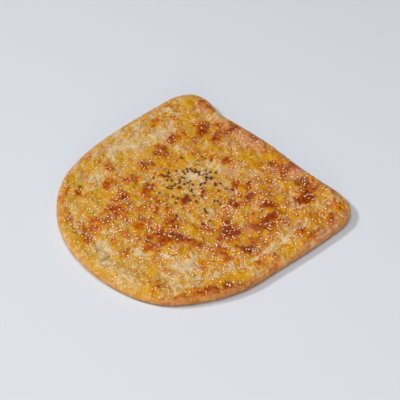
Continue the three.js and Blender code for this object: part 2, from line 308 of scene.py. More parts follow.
# browned blisters: x, y, length, width, turn in degrees, strength
browned = [
    (-103, 124, 12, 8, -70, 0.8), (-91, 121, 12, 8, 0, 0.8), (-103, 108, 6, 9, 0, 0.5),
    (-125, 85, 9, 8, 0, 0.5), (-113, 56, 19, 9, -52, 0.75), (-104, 77, 12, 7, 0, 0.55),
    (-67, 88, 26, 13, -40, 0.95), (-70, 97, 9, 8, 60, 0.15), (-61, 84, 9, 9, 0, 0.9),
    (-58, 75, 6, 11, 0, 0.6), (-44, 108, 7, 18, 0, 0.95), (-60, 108, 9, 12, 0, 0.6),
    (-45, 90, 28, 10, -60, 0.7), (-43, 85, 7, 6, 0, 0.85), (-47, 119, 14, 7, 0, 0.75),
    (-76, 52, 20, 12, -50, 0.9), (-71, 63, 13, 11, 0, 0.5), (-83, 66, 9, 6, -50, 0.55),
    (-57, 66, 18, 10, 0, 0.55), (-73, 30, 12, 9, 0, 0.8), (-64, 30, 18, 10, -35, 0.85),
    (-69, 22, 12, 8, 0, 0.95), (-9, 70, 12, 9, 0, 0.95), (-6, 65, 11, 9, 0, 0.8), (-40, 55, 9, 13, 0, 0.45),
    (-47, 31, 12, 9, 0, 0.45), (-10, 121, 9, 5, 0, 0.75), (-16, 118, 16, 5, 0, 0.45),
    (-24, 114, 6, 5, 0, 0.5), (9, 109, 9, 7, 0, 0.5), (28, 104, 11, 15, 0, 0.6), (22, 96, 11, 7, 0, 0.45),
    (45, 117, 11, 9, 0, 0.8), (42, 107, 13, 13, -20, 0.75), (47, 100, 9, 9, 0, 0.6),
    (45, 80, 13, 7, -55, 0.6), (55, 71, 13, 9, 0, 0.55), (26, 48, 14, 7, -50, 0.9),
    (36, 56, 13, 10, 0, 0.55), (34, 64, 7, 5, 0, 0.6), (49, 48, 14, 7, 95, 0.8), (45, 53, 6, 6, 0, 0.25),
    (46, 29, 16, 9, -25, 0.95), (67, 103, 8, 7, 0, 0.75), (71, 108, 9, 11, 0, 0.7),
    (77, 103, 9, 6, 0, 0.55), (85, 108, 22, 7, 98, 0.8), (88, 93, 26, 12, 100, 1.0), (82, 89, 7, 8, 0, 0.5),
    (85, 81, 11, 8, -20, 0.45), (122, 103, 11, 5, 0, 0.8), (124, 93, 5, 10, 0, 0.45),
    (125, 84, 6, 8, 0, 0.35), (128, 58, 17, 6, 95, 0.7), (113, 53, 10, 9, 0, 0.7), (119, 52, 9, 6, 0, 0.25),
    (113, 75, 11, 9, 0, 0.45), (85, 44, 15, 12, 40, 1.0), (82, 53, 12, 8, 0, 0.55),
    (85, 33, 15, 16, 0, 0.75), (84, 23, 14, 12, 0, 0.8), (97, 36, 9, 7, 0, 0.6), (69, 57, 8, 7, 0, 0.4),
    (62, 57, 7, 11, 0, 0.5), (-63, -3, 12, 9, -50, 0.85), (-60, 5, 9, 6, 0, 0.5),
    (-52, -22, 14, 7, -30, 0.9), (-58, -30, 10, 6, -50, 0.8), (-86, -30, 13, 8, 0, 0.65),
    (-98, -30, 11, 8, 0, 0.6), (-115, -38, 9, 16, 15, 0.6), (-44, 11, 11, 7, 0, 0.65),
    (-32, -24, 16, 7, -35, 0.9), (-34, -18, 13, 8, 0, 0.95), (-24, -29, 11, 9, 0, 0.65),
    (-27, -19, 9, 5, 0, 0.65), (-40, -46, 14, 7, -40, 0.85), (-39, -54, 7, 10, 0, 0.4),
    (-66, -50, 18, 8, -25, 0.9), (-66, -43, 15, 7, 0, 0.5), (-27, -51, 9, 9, 0, 0.65),
    (-76, -78, 12, 6, -50, 0.75), (-24, -81, 13, 7, -60, 0.65), (-47, -73, 7, 5, 0, 0.45),
    (-28, -93, 20, 18, 0, 0.65), (-30, -102, 15, 5, 0, 0.65), (-24, -109, 14, 7, -35, 0.95),
    (-14, -112, 11, 7, -20, 0.75), (-52, -110, 10, 7, -55, 0.65), (-63, -101, 21, 7, -25, 0.5),
    (-86, -87, 14, 6, -45, 0.6), (-76, -97, 8, 6, 0, 0.5), (8, -5, 12, 8, -60, 1.0),
    (3, -23, 10, 6, 0, 0.85), (-10, -28, 11, 9, 0, 0.5), (-3, -36, 30, 8, 0, 0.4),
    (27, -36, 14, 8, -10, 0.7), (3, -55, 24, 9, 0, 0.45), (1, -64, 30, 8, 0, 0.6),
    (-35, -66, 13, 8, 0, 0.85), (-26, -65, 15, 10, 0, 0.8), (27, -57, 16, 13, 0, 0.95),
    (24, -65, 12, 6, 0, 0.85), (35, -54, 13, 7, -30, 0.35), (38, -60, 11, 9, 0, 0.75),
    (42, -52, 16, 8, 60, 0.85), (38, -45, 14, 7, 10, 0.9), (48, -42, 14, 8, 25, 1.0),
    (56, -39, 12, 6, 15, 0.7), (62, -34, 9, 7, 0, 0.75), (33, -76, 14, 7, -20, 0.7),
    (34, -71, 18, 9, 0, 0.8), (4, -79, 15, 11, 0, 0.5), (3, -93, 10, 6, 0, 0.7), (21, -96, 12, 8, 0, 0.8),
    (-15, -45, 5, 11, 0, 0.6), (14, -57, 6, 9, 0, 0.2), (70, -3, 19, 15, 40, 0.9), (77, 2, 9, 8, 0, 0.8),
    (72, -13, 9, 11, 0, 0.65), (57, 8, 21, 8, -50, 0.7), (100, -2, 7, 7, 0, 0.75), (96, -9, 21, 9, 20, 0.9),
    (94, 7, 12, 9, 0, 0.65), (104, 13, 10, 8, 0, 0.6), (53, -14, 15, 9, 0, 0.75), (47, -23, 13, 7, 0, 0.5),
    (82, -26, 14, 9, -20, 0.45), (75, -27, 7, 6, 0, 0.6), (95, -27, 6, 9, 0, 0.65), (120, -8, 9, 7, 0, 0.6),
    (132, -5, 5, 14, 0, 0.65), (128, -28, 6, 18, -15, 0.65), (118, -48, 11, 7, 55, 0.7),
    (109, -64, 12, 8, 50, 0.7), (103, -75, 10, 9, 0, 0.7), (107, -84, 10, 9, 0, 0.65),
    (90, -51, 6, 7, 0, 0.5), (76, -98, 11, 8, 0, 0.4), (92, -108, 24, 7, 42, 0.95),
    (53, -79, 9, 7, 0, 0.45), (58, -58, 6, 11, 0, 0.45), (-43, 22, 13, 12, 0, 0.55),
    (61, 90, 12, 12, 0, 0.35), (13, 19, 9, 12, 30, 0.4), (72, 53, 13, 10, 0, 1.0),
    (-62, 24, 24, 14, 0, 0.35), (-32, -88, 14, 12, 0, 0.3), (114, -61, 12, 12, 0, 0.35),
    (127, -47, 8, 14, -20, 0.4), (118, 74, 10, 16, 0, 0.35), (57, 77, 9, 10, 0, 0.35),
    (5, -63, 9, 9, 0, 0.6), (82, -33, 11, 8, 0, 0.6), (88, 56, 7, 8, 0, 0.5), (42, -24, 9, 7, 0, 0.45),
    (-57, -64, 9, 9, 0, 0.35), (1, 89, 9, 8, 0, 0.3), (81, 70, 9, 8, 0, 0.5), (46, -56, 7, 6, 0, 0.5),
    (-52, -32, 8, 7, 0, 0.5), (-67, -66, 6, 10, 0, 0.3), (-104, -68, 10, 9, 0, 0.25),
    (-53, -115, 10, 7, -20, 0.35), (-112, 105, 9, 9, 0, 0.3), (-102, 118, 7, 7, 0, 0.5),
    (-97, -46, 9, 8, 0, 0.35), (-67, -3, 7, 8, 0, 0.5), (-114, 118, 8, 8, 0, 0.3), (-42, 0, 14, 10, 0, 0.3),
    (122, -46, 6, 16, -25, 0.6), (115, -62, 7, 14, -30, 0.6), (107, -77, 7, 16, -32, 0.6),
    (98, -91, 7, 14, -38, 0.5), (127, -40, 6, 16, -20, 0.5), (120, -57, 7, 9, 30, 0.6),
    (99, -90, 16, 6, 45, 0.5),
]

# dough that stayed pale, as above
pale = [
    (-100, 5, 60, 110, 0, 0.15), (-5, -100, 120, 50, 0, 0.25), (70, -66, 70, 40, 0, 0.3),
    (-104, 8, 26, 22, 0, 0.45), (-92, 18, 30, 22, 0, 0.3), (-93, 42, 22, 18, 0, 0.6),
    (-120, 42, 9, 14, 0, 0.5), (-92, 63, 26, 6, -48, 1.0), (-88, 50, 14, 18, 0, 0.6),
    (-123, 106, 8, 18, 0, 0.6), (-103, -14, 34, 9, -25, 0.7), (-82, -50, 28, 14, -40, 0.8),
    (-76, -66, 14, 11, 0, 0.6), (5, -105, 26, 13, 0, 0.9), (15, -111, 24, 9, 0, 0.7),
    (33, -84, 22, 8, 0, 0.9), (50, -71, 18, 15, 0, 0.45), (71, -62, 40, 26, 0, 0.5),
    (87, -64, 18, 16, 0, 0.6), (88, -83, 17, 15, 0, 0.8), (105, -33, 11, 11, 0, 0.8),
    (110, -15, 18, 11, -20, 0.7), (112, 8, 25, 9, 85, 0.8), (112, 28, 21, 10, 90, 0.7),
    (112, 61, 9, 9, 0, 1.0), (-13, 27, 22, 12, 25, 1.0), (-12, 24, 56, 38, 20, 0.5),
    (25, 75, 18, 9, 0, 0.7), (56, 86, 13, 11, 0, 0.8), (75, 86, 12, 8, -40, 0.6), (45, 92, 8, 8, 0, 0.5),
    (-64, 114, 14, 8, 45, 0.7), (-80, 112, 9, 22, 0, 0.6), (-55, 43, 15, 11, 0, 0.7),
    (-47, -8, 7, 16, 20, 0.7), (35, 3, 10, 9, 0, 0.7), (45, -115, 34, 15, 0, 0.8),
    (-20, 46, 32, 12, 0, 0.5), (-127, 65, 9, 12, 0, 0.4), (-112, 84, 12, 14, 0, 0.6),
    (-45, -97, 10, 9, 0, 0.5), (108, 92, 12, 12, 0, 0.4), (-42, -76, 9, 9, 0, 0.6),
    (-30, -8, 20, 9, 0, 0.5), (62, -118, 14, 8, 0, 0.4), (109, 38, 12, 16, 0, 0.9),
    (-79, 72, 13, 10, 0, 0.9), (5, 68, 22, 20, 0, 0.6), (26, 58, 8, 7, 0, 0.8), (43, 35, 8, 9, 0, 0.7),
    (100, -50, 12, 15, 0, 0.8), (112, -7, 12, 10, 0, 0.6), (-11, 56, 18, 13, 0, 0.8),
    (76, -18, 10, 7, 0, 0.8), (30, -46, 9, 7, 0, 0.9), (-77, 97, 10, 10, 0, 0.5), (98, -72, 10, 11, 0, 0.5),
    (-14, -87, 12, 12, 0, 0.7), (77, 113, 9, 6, 0, 0.8), (-76, 115, 12, 9, 0, 0.7),
    (-74, -43, 13, 10, 0, 0.6), (-68, 106, 10, 9, 0, 0.5), (-48, 73, 9, 12, 0, 0.6),
    (70, -47, 13, 10, 0, 0.6), (-68, -92, 15, 10, 0, 0.7), (42, -77, 12, 8, 0, 0.6),
    (98, 95, 10, 12, 0, 0.6), (105, 66, 9, 9, 0, 0.6), (15, -80, 9, 9, 0, 0.7), (-73, 37, 9, 6, 0, 0.6),
    (99, -29, 6, 8, 0, 0.6), (34, 95, 8, 8, 0, 0.6), (2, 2, 7, 6, 0, 0.5), (-14, -106, 9, 7, 0, 0.5),
    (111, -29, 9, 9, 0, 0.7), (74, 96, 7, 7, 0, 0.5), (109, -7, 8, 8, 0, 0.6), (-50, 38, 10, 8, 0, 0.5),
    (56, -107, 12, 9, 0, 0.6), (-55, 98, 7, 8, 0, 0.6), (-72, -33, 9, 8, 0, 0.5), (-113, 68, 9, 9, 0, 0.5),
    (18, -68, 7, 6, 0, 0.5), (40, 22, 8, 6, 0, 0.5), (0, 69, 5, 7, 0, 0.5), (-46, -49, 6, 6, 0, 0.4),
    (110, 111, 9, 7, 0, 0.4), (-28, 83, 9, 9, 0, 0.5), (33, 41, 8, 8, 0, 0.4), (-107, -29, 7, 10, 0, 0.7),
    (122, -18, 8, 9, 0, 0.7), (58, 1, 7, 6, 0, 0.5), (-51, 77, 6, 8, 0, 0.5), (33, -114, 12, 9, 0, 0.6),
    (43, 0, 9, 8, 0, 0.6), (15, -118, 50, 14, 0, 0.4), (22, 42, 20, 16, 0, 0.4), (44, 62, 14, 12, 0, 0.35),
    (-62, 100, 13, 12, 0, 0.4), (-44, -63, 11, 11, 0, 0.3), (-24, -40, 14, 10, 0, 0.35),
    (100, 78, 12, 12, 0, 0.4), (120, 100, 10, 14, 0, 0.4), (-118, 82, 14, 16, 0, 0.5),
    (40, 40, 14, 12, 0, 0.35), (60, 17, 14, 12, 0, 0.4), (84, -3, 8, 10, 0, 0.4),
    (-80, -42, 14, 12, 0, 0.5), (-40, -100, 14, 9, 0, 0.4), (-60, 62, 10, 10, 0, 0.4),
    (24, 65, 8, 8, 0, 0.5), (38, 31, 9, 9, 0, 0.6), (32, 98, 7, 8, 0, 0.5), (29, 19, 8, 7, 0, 0.5),
    (76, 97, 7, 6, 0, 0.5), (-49, 84, 6, 8, 0, 0.5), (-8, 40, 9, 6, 0, 0.5), (112, -5, 9, 8, 0, 0.5),
    (89, -97, 10, 8, 0, 0.5), (30, -5, 9, 8, 0, 0.7), (-21, -28, 6, 6, 0, 0.4), (-32, -57, 8, 7, 0, 0.5),
    (-48, 37, 8, 7, 0, 0.4), (-39, 91, 6, 8, 0, 0.4), (-78, 69, 8, 7, 0, 0.6),
]

# dough that turned a deep golden yellow, as above
golden = [
    (-118, 110, 15, 22, 0, 0.8), (-60, 22, 42, 24, 0, 0.8), (-37, 40, 32, 17, 0, 0.8),
    (-99, -42, 24, 20, 0, 0.9), (-90, -10, 14, 18, 0, 0.8), (-60, -86, 32, 15, 0, 0.7),
    (-30, -117, 52, 12, -8, 0.9), (5, -124, 30, 9, 0, 0.6), (18, 108, 26, 22, 0, 0.8),
    (116, -34, 17, 22, 0, 0.9), (126, 30, 11, 32, 0, 0.8), (60, -93, 42, 15, 0, 0.7),
    (28, -107, 26, 9, 0, 0.8), (47, -89, 22, 9, 0, 0.8), (72, 70, 18, 14, 0, 0.6), (-8, -5, 22, 16, 0, 0.7),
    (60, -48, 9, 13, 0, 0.8), (60, 28, 14, 10, 0, 0.5), (-92, 98, 22, 13, 0, 0.6),
    (-75, 76, 26, 11, -45, 0.8), (103, -83, 16, 16, 0, 0.8), (104, -58, 12, 14, 0, 0.6),
    (-80, 8, 16, 14, 0, 0.5), (-53, 82, 9, 12, -50, 0.8), (-58, -64, 15, 11, 0, 0.8),
    (118, 75, 12, 20, 0, 0.7), (-100, 92, 18, 12, 0, 0.6), (10, 95, 30, 12, 0, 0.5),
    (62, -22, 16, 12, 0, 0.8), (-65, -18, 14, 10, 0, 0.4), (-96, -69, 18, 14, 0, 0.8),
    (-67, -67, 10, 11, 0, 0.8), (113, -54, 8, 8, 0, 0.6), (124, 51, 7, 9, 0, 0.7), (63, -13, 8, 8, 0, 0.7),
    (-113, 119, 9, 9, 0, 0.6), (-110, 104, 9, 9, 0, 0.6), (-97, -46, 12, 10, 0, 0.7),
    (42, -120, 90, 9, 8, 0.6), (113, -43, 13, 15, 0, 0.8), (119, 40, 10, 12, 0, 0.6),
    (78, -87, 10, 8, 0, 0.6), (104, -64, 9, 14, 0, 0.7), (97, -86, 12, 12, 0, 0.7),
]

# dough with a rosy beige tone, as above
rosy = [
    (-22, 113, 64, 18, 0, 0.9), (57, 112, 15, 24, 0, 0.8), (-67, 113, 12, 10, 45, 0.9),
    (104, 119, 44, 10, 0, 0.7), (133, 82, 10, 60, 5, 0.8), (135, 35, 8, 60, 0, 0.7),
    (57, 76, 9, 12, 0, 0.7), (130, -8, 10, 34, 0, 0.5), (-126, 72, 10, 24, 0, 0.8),
    (-96, 112, 16, 12, 0, 0.5), (-15, 96, 16, 12, 0, 0.4), (8, 62, 14, 34, 0, 0.5),
    (-30, 96, 20, 14, 0, 0.4), (-97, 45, 20, 12, 0, 0.4), (-56, 116, 14, 8, 0, 0.8),
    (-117, -12, 14, 14, 0, 0.5), (-119, -32, 8, 16, 0, 0.8), (-108, 30, 16, 10, 0, 0.4),
    (106, 60, 10, 10, 0, 0.4), (94, 70, 8, 16, 0, 0.4), (84, 19, 14, 12, 0, 0.5),
]

# the darkest blisters, which turned plum, as above
plum = [
    (-73, 30, 10, 8, 0, 0.7), (-47, 119, 18, 7, 0, 0.8), (48, 47, 12, 8, 80, 0.9), (84, 45, 9, 9, 0, 0.8),
    (7, -4, 12, 8, -60, 1.0), (72, -4, 16, 12, 40, 0.6), (38, -45, 12, 6, 10, 0.7),
    (25, -35, 16, 8, -10, 0.5), (-61, 84, 7, 6, 0, 0.35), (57, -38, 12, 5, 15, 0.3),
    (-44, 107, 7, 9, 0, 0.4), (84, 25, 10, 10, 0, 0.35), (-39, 118, 12, 6, 0, 0.3),
    (-20, 119, 20, 5, 0, 0.3), (64, 104, 6, 6, 0, 0.2), (-20, 124, 44, 6, 0, 0.5),
    (60, 123, 60, 5, 0, 0.35), (108, 116, 36, 5, -20, 0.4), (-10, 4, 5, 5, 0, 0.8), (-33, 5, 9, 5, 30, 0.5),
    (12, 17, 5, 9, 35, 0.5), (2, 38, 5, 6, 0, 0.4),
]

toasting = {"wider": 1.5, "further": 7, "fainter": 0.6}  # round each browned blister

# how soft the outlines of each kind of patch are
softness = {"brown": 0.52, "toast": 0.9, "pale": 0.6, "golden": 0.6, "rosy": 0.6, "plum": 0.5}

# how far the finish of folds and of seeds reaches (round each seed a browner ring, partly toasted dough and
# partly painted shadow of the seed), and the insets between which each band fades
reach = {"folded": 1.5, "nest": 2.1, "stain": 2.3}
band = {"side": (2, 9), "foot": (0.6, 5), "rimward": (5, 20)}
redder = {"width": 260, "slant": 0.7}  # the bake grows redder towards +X, and by the slant towards +Y


def cornersOf(mesh):
    places = np.empty(len(mesh.vertices) * 3)
    mesh.vertices.foreach_get("co", places)
    return places.reshape(-1, 3)


# The edge's distance from the middle in every direction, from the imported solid's widest level.
def readOutline():
    points = cornersOf(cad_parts["flatbread"].data)
    widest, tolerance = dough["wall"][0][1] * mm, 0.02 * mm
    edge = points[np.abs(points[:, 2] - widest) < tolerance]
    angles = np.arctan2(edge[:, 1], edge[:, 0])
    order = np.argsort(angles)
    steps = 2048
    fine = np.linspace(-np.pi, np.pi, steps, endpoint=False)
    radius = np.interp(fine, angles[order], np.hypot(edge[:, 0], edge[:, 1])[order], period=2 * np.pi)
    window = np.hanning(21)
    smooth = np.convolve(np.tile(radius, 3), window / window.sum(), "same")[steps:2 * steps]
    return fine, np.minimum(smooth, radius)


def edgeAt(angle):
    angles, radii = readOutline()
    return np.interp(angle, angles, radii, period=2 * np.pi) / mm


def onPlan(x, y):
    return np.stack([x, y, np.zeros_like(x)], axis=1)


def wobble(points, size, seed):  # smooth noise from -1 to 1 at each point, bumps about size wide
    shift = Vector((seed * 7.3, seed * 3.1, seed * 1.7))
    return np.array([noise.noise(Vector(p) / size + shift) for p in points])


def waves(points, kinds):
    return sum(height * wobble(points, size, seed) for height, size, seed in kinds)


def creases(points, size, seed):  # distance from the edges of irregular cells, 0 on an edge
    shift = Vector((seed * 5.7, seed * 2.3, seed))
    gaps = []
    for point in points:
        distances, _ = noise.voronoi(Vector(point) / size + shift)
        gaps.append(distances[1] - distances[0])
    return np.array(gaps)


def smoothStep(value, low, high):
    share = np.clip((value - low) / (high - low), 0, 1)
    return share * share * (3 - 2 * share)


def bell(distance, width):
    return np.exp(-(distance / width) ** 2)


def ovalDistance(x, y, centreX, centreY, length, width, turn):  # 1 on the oval's edge
    angle = math.radians(turn)
    along = (x - centreX) * math.cos(angle) + (y - centreY) * math.sin(angle)
    across = (y - centreY) * math.cos(angle) - (x - centreX) * math.sin(angle)
    return np.hypot(2 * along / length, 2 * across / width)


def hump(x, y, centreX, centreY, length, width, turn=0):  # 1 in the middle, a tenth on the oval's edge
    return np.exp(-2.2 * ovalDistance(x, y, centreX, centreY, length, width, turn) ** 2)


def markedHump(x, y, mark, wider=1):
    return hump(x, y, mark["x"], mark["y"], wider * mark["length"], wider * mark["width"], mark["turn"])


def patches(x, y, ovals, soft=0.45):  # how much each place is covered, 0 to 1
    bare = np.ones_like(x)
    for *oval, strength in ovals:
        away = ovalDistance(x, y, *oval)
        bare *= 1 - strength * (1 - smoothStep(away, 1 - soft, 1 + soft))
    return 1 - bare


def spread(oval):  # the wide faint toasting round a browned blister
    x, y, length, width, turn, strength = oval
    wider, further = toasting["wider"], toasting["further"]
    return x, y, length * wider + further, width * wider + further, turn, strength * toasting["fainter"]


def lineDistance(x, y, line):
    nearest = np.full_like(x, 1e9)
    for (startX, startY), (endX, endY) in zip(line, line[1:]):
        runX, runY = endX - startX, endY - startY
        share = np.clip(((x - startX) * runX + (y - startY) * runY) / (runX ** 2 + runY ** 2), 0, 1)
        nearest = np.minimum(nearest, np.hypot(x - startX - share * runX, y - startY - share * runY))
    return nearest


def topHeight(x, y, inset, brown, puff):
    rise = 1 - np.minimum(inset / dough["shoulderWidth"], 1)
    power = dough["shoulderPower"]
    rounded = (1 - rise ** power) ** (1 / power)
    wallTop = dough["wall"][0][1]
    shoulder = dough["shoulderHeight"] + dough["shoulderRise"] * y / dough["halfSpan"]
    height = wallTop + (shoulder - wallTop) * rounded
    height += dough["crown"] * np.sqrt(smoothStep(inset, dough["crownInset"], dough["halfSpan"]))
    height += rim["height"] * bell(inset - rim["inset"], rim["width"])
    height -= rimCrease["depth"] * bell(inset - rimCrease["inset"], rimCrease["width"])
    layered = markedHump(x, y, layerLine)
    for inward in layerLine["insets"]:
        height -= layerLine["depth"] * layered * bell(inset - inward, layerLine["thickness"])

    relief = sum(lift * hump(x, y, sx, sy, 2 * radius, 2 * radius) for sx, sy, radius, lift in swells)
    relief = relief + skin["browned"] * brown + skin["puffed"] * puff - skin["settled"]
    relief += waves(onPlan(x, y), skin["waves"])
    for depth, width, line in folds:
        relief -= skin["foldPress"] * depth * bell(lineDistance(x, y, line), width)
    relief += vent["lip"] * markedHump(x, y, vent, 2)
    relief -= (vent["depth"] + vent["lip"]) * markedHump(x, y, vent, 1.2)
    height += relief * smoothStep(inset, *skin["inset"])
    begin, full, fade, end = skin["edgeInset"]
    atEdge = smoothStep(inset, begin, full) * (1 - smoothStep(inset, fade, end))
    height += waves(onPlan(x, y), skin["edgeWaves"]) * atEdge

    knee, room = dough["knee"], dough["ceiling"] - dough["knee"]
    return np.where(height > knee, knee + room * (1 - np.exp(-(height - knee) / room)), height)


# A flat square is extruded down its edge and in again below, so that it is a closed cushion.
def makeCushion():
    bpy.ops.object.select_all(action="DESELECT")
    cells = dough["cells"]
    bpy.ops.mesh.primitive_grid_add(x_subdivisions=cells, y_subdivisions=cells, size=2)
    cushion = bpy.context.object
    bpy.ops.object.mode_set(mode="EDIT")
    bpy.ops.mesh.select_all(action="SELECT")
    bpy.ops.mesh.region_to_loop()
    for _ in dough["wall"]:
        bpy.ops.mesh.extrude_edges_move(TRANSFORM_OT_translate={"value": (0, 0, -1)})
    base = -len(dough["wall"])
    span = 1.0
    for share in dough["under"]:
        bpy.ops.mesh.extrude_edges_move(TRANSFORM_OT_translate={"value": (0, 0, 0)})
        step = share / span
        bpy.ops.transform.resize(value=(step, step, 1), center_override=(0, 0, base))
        span = share
    bpy.ops.mesh.edge_face_add()
    bpy.ops.mesh.poke()
    bpy.ops.mesh.select_all(action="SELECT")
    bpy.ops.mesh.normals_make_consistent(inside=False)
    bpy.ops.object.mode_set(mode="OBJECT")
    return cushion


def reachOfRing(ring):
    crowding = dough["crowding"]
    return (ring - crowding * ring ** 8) / (1 - crowding)


def giveAttribute(mesh, name, values):
    mesh.attributes.new(name, "FLOAT", "POINT").data.foreach_set("value", values.astype(np.float32))


def nearness(x, y, spots, fade):  # 1 at a spot, and nearly 0 at twice the fade from it
    tree = KDTree(len(spots))
    for i, spot in enumerate(spots):
        tree.insert((spot[0], spot[1], 0), i)
    tree.balance()
    return np.array([bell(tree.find((a, b, 0))[2], fade) for a, b in zip(x, y)])


# The cushion's rings are moved to the outline, and its corners remember what the finish needs to know.
def makeDough(sesameSpots, nigellaSpots):
    bread = makeCushion()
    bread.name = "bakedDough"
    mesh = bread.data
    u, v, level = cornersOf(mesh).T
    level = np.rint(-level).astype(int)
    ring = np.maximum(np.abs(u), np.abs(v))
    angle = np.arctan2(v, u)
    edge = edgeAt(angle)
    for direction, width, shift in edgeShifts:
        edge += shift * bell(np.degrees(angle) - direction, width)

    halfSpan, wall = dough["halfSpan"], dough["wall"]
    onTop = level == 0
    wallInset = np.array([dough["lip"]] + [inward for inward, _ in wall])
    wallHeight = np.array([0] + [up for _, up in wall])  # the top's own height follows below
    inset = halfSpan * (1 - reachOfRing(ring)) + wallInset[level]
    under = (level == len(wall)) & (ring < 0.999)
    inset[under] = halfSpan * (1 - ring[under]) + wall[-1][0]
    around = np.stack([np.cos(angle), np.sin(angle), level * raggedEdge["perLevel"]], axis=1)
    ragged = raggedEdge["depth"] * (0.5 + waves(around, raggedEdge["waves"]))
    outerHalf = ring > 0.5
    inset += ragged * (1 - smoothStep(inset, *raggedEdge["inset"])) * outerHalf
    radius = edge * (1 - np.minimum(inset / halfSpan, 1))
    x, y = radius * np.cos(angle), radius * np.sin(angle)

    places = onPlan(x, y)
    warpX, warpY = waves(places, wanderX), waves(places, wanderY)
    warped = x + warpX, y + warpY
    brown = patches(*warped, browned, softness["brown"])
    slanted = onPlan(x + 2 * warpX + puffs["lean"] * y, (y + 2 * warpY) * puffs["squash"])
    puff = smoothStep(creases(slanted, puffs["size"], puffs["seed"]), *puffs["rise"])
    height = np.where(onTop, topHeight(x, y, inset, brown, puff), wallHeight[level])
    height[under] = dough["underLift"] * (0.5 + 0.5 * wobble(places[under], dough["underDent"], 9))
    mesh.vertices.foreach_set("co", (np.stack([x, y, height], axis=1) * mm).ravel())
    mesh.update()

    toast = [spread(oval) for oval in browned]
    spots = {"toast": toast, "pale": pale, "golden": golden, "rosy": rosy, "plum": plum}
    attributes = {name: patches(*warped, ovals, softness[name]) for name, ovals in spots.items()}
    unfolded = [1 - bell(lineDistance(x, y, line), reach["folded"]) for _, _, line in folds]
    attributes["brown"] = brown
    attributes["puff"] = puff
    attributes["folded"] = 1 - np.prod(unfolded, axis=0)
    attributes["ruddy"] = np.clip(0.5 + (x + redder["slant"] * y) / redder["width"], 0, 1)
    # a browner ring round every seed: partly toasted dough, partly painted shadow of the seed
    attributes["nest"] = nearness(x, y, sesameSpots + nigellaSpots, reach["nest"])
    attributes["stain"] = nearness(x, y, nigellaSpots, reach["stain"])
    attributes["side"] = np.where(onTop, 1 - smoothStep(inset, *band["side"]), 1)
    attributes["foot"] = np.where(onTop, 1 - smoothStep(inset, *band["foot"]), 1)
    attributes["under"] = np.where(under, 1.0, 0.0)
    rimward = 1 - smoothStep(inset, *band["rimward"])
    attributes["layered"] = rimward * (0.6 + 0.4 * markedHump(x, y, layerLine))
    for name, values in attributes.items():
        giveAttribute(mesh, name, values)
    across, down = edge / strand["length"], inset / strand["thickness"] - level * strand["perLevel"]
    rolled = np.stack([across * np.cos(angle), across * np.sin(angle), down], axis=1)
    layers = mesh.attributes.new("layers", "FLOAT_VECTOR", "POINT")
    layers.data.foreach_set("vector", rolled.astype(np.float32).ravel())
    bpy.ops.object.shade_smooth()
    print("dough:", len(mesh.polygons), "faces")
    return bread


crust = {
    "shades": [  # from unbaked to nearly burnt
        (0.00, paint(226, 204, 160)), (0.14, paint(218, 178, 90)), (0.30, paint(216, 150, 6)),
        (0.50, paint(206, 114, 0)), (0.72, paint(182, 72, 0)), (0.90, paint(156, 52, 0)),
        (1.00, paint(132, 40, 2)),
    ],
    # light cream flecks: partly floury crust bubbles, partly painted glints
    "fleck": paint(238, 198, 122),
    "speck": paint(120, 56, 4),
    # painted shade: a browner colour laid in the hollows of the fine bump
    "crease": paint(176, 104, 14),
    "mustard": paint(212, 170, 10),
    "amber": paint(210, 114, 0),
    "golden": paint(216, 158, 0),
    "yellow": paint(218, 156, 4),
    "rosy": paint(216, 150, 134),
    "cream": paint(238, 210, 176),
    # pale cream on the raised wrinkle ridges and along the folds: unbrowned dough, and on the ridges partly
    # painted highlight
    "wrinkle": paint(240, 212, 162),
    "plum": paint(138, 50, 42),
    "stain": paint(132, 70, 20),
    # the wall's tan, painted brighter than its own colour as painted fill light on the shaded wall; the
    # toasted mottling on it is real
    "side": paint(226, 168, 108),
    "sideToasted": paint(192, 100, 34),
    # the wall's foot, painted paler as painted bounce light from below on the unlit lower wall; the toasted
    # streaks on it are real
    "foot": paint(228, 172, 112),
    "footToasted": paint(176, 92, 34),
    "under": paint(186, 132, 72),
    "underSpots": paint(116, 66, 28),
    "gloss": 0.27,
    "coat": 0.07,
    "coatGloss": 0.15,
    "shine": 0.3,
    "shineTint": (1.0, 0.66, 0.06, 1.0),
    "relief": 1.6,
}

# how much each thing adds to the bake, which picks the shade
bakeBy = {
    "start": -0.155, "broad": 0.36, "mottle": 0.26, "fine": 0.58, "puff": 0.2, "pale": -0.34, "toast": 0.3,
    "brown": 0.36, "brownMottle": 0.14, "nest": 0.28, "ruddy": 0.15, "strands": 1.5,
}

# how much of each tint lies on plain dough, and the change where the dough is pale
tints = {"yellow": (0.85, -0.5), "amber": (0.4, -0.35), "cream": (0.1, 0.8)}

# patterns in the crust: size, detail, roughness, distortion, variant, and where they fade in
crustPatterns = {
    "broad": (10, 4, 0.6, 0.5, 0.0, 0.36, 0.64),
    "mottle": (4.4, 4, 0.62, 0.3, 1.7, 0.36, 0.64),
    "yellow": (12, 4, 0.62, 0.4, 3.1, 0.48, 0.58),
    "mustard": (8, 3, 0.6, 0.4, 40.3, 0.44, 0.58),
    "amber": (9, 4, 0.62, 0.4, 44.1, 0.53, 0.62),
    "cream": (5, 3, 0.6, 0.4, 8.3, 0.53, 0.62),
    "rosy": (8, 3, 0.6, 0.4, 5.9, 0.52, 0.64),
    "drawn": (11, 2, 0.5, 0.0, 33.5, 0.42, 0.6),
    # light flecks, partly crust bubbles and partly painted glints
    "fleck": (1.5, 2, 0.5, 0.0, 12.2, 0.6, 0.7),
    "speck": (1.6, 2, 0.5, 0.0, 15.4, 0.59, 0.7),
    "wet": (5, 3, 0.6, 0.0, 21.0, 0.42, 0.6),
}


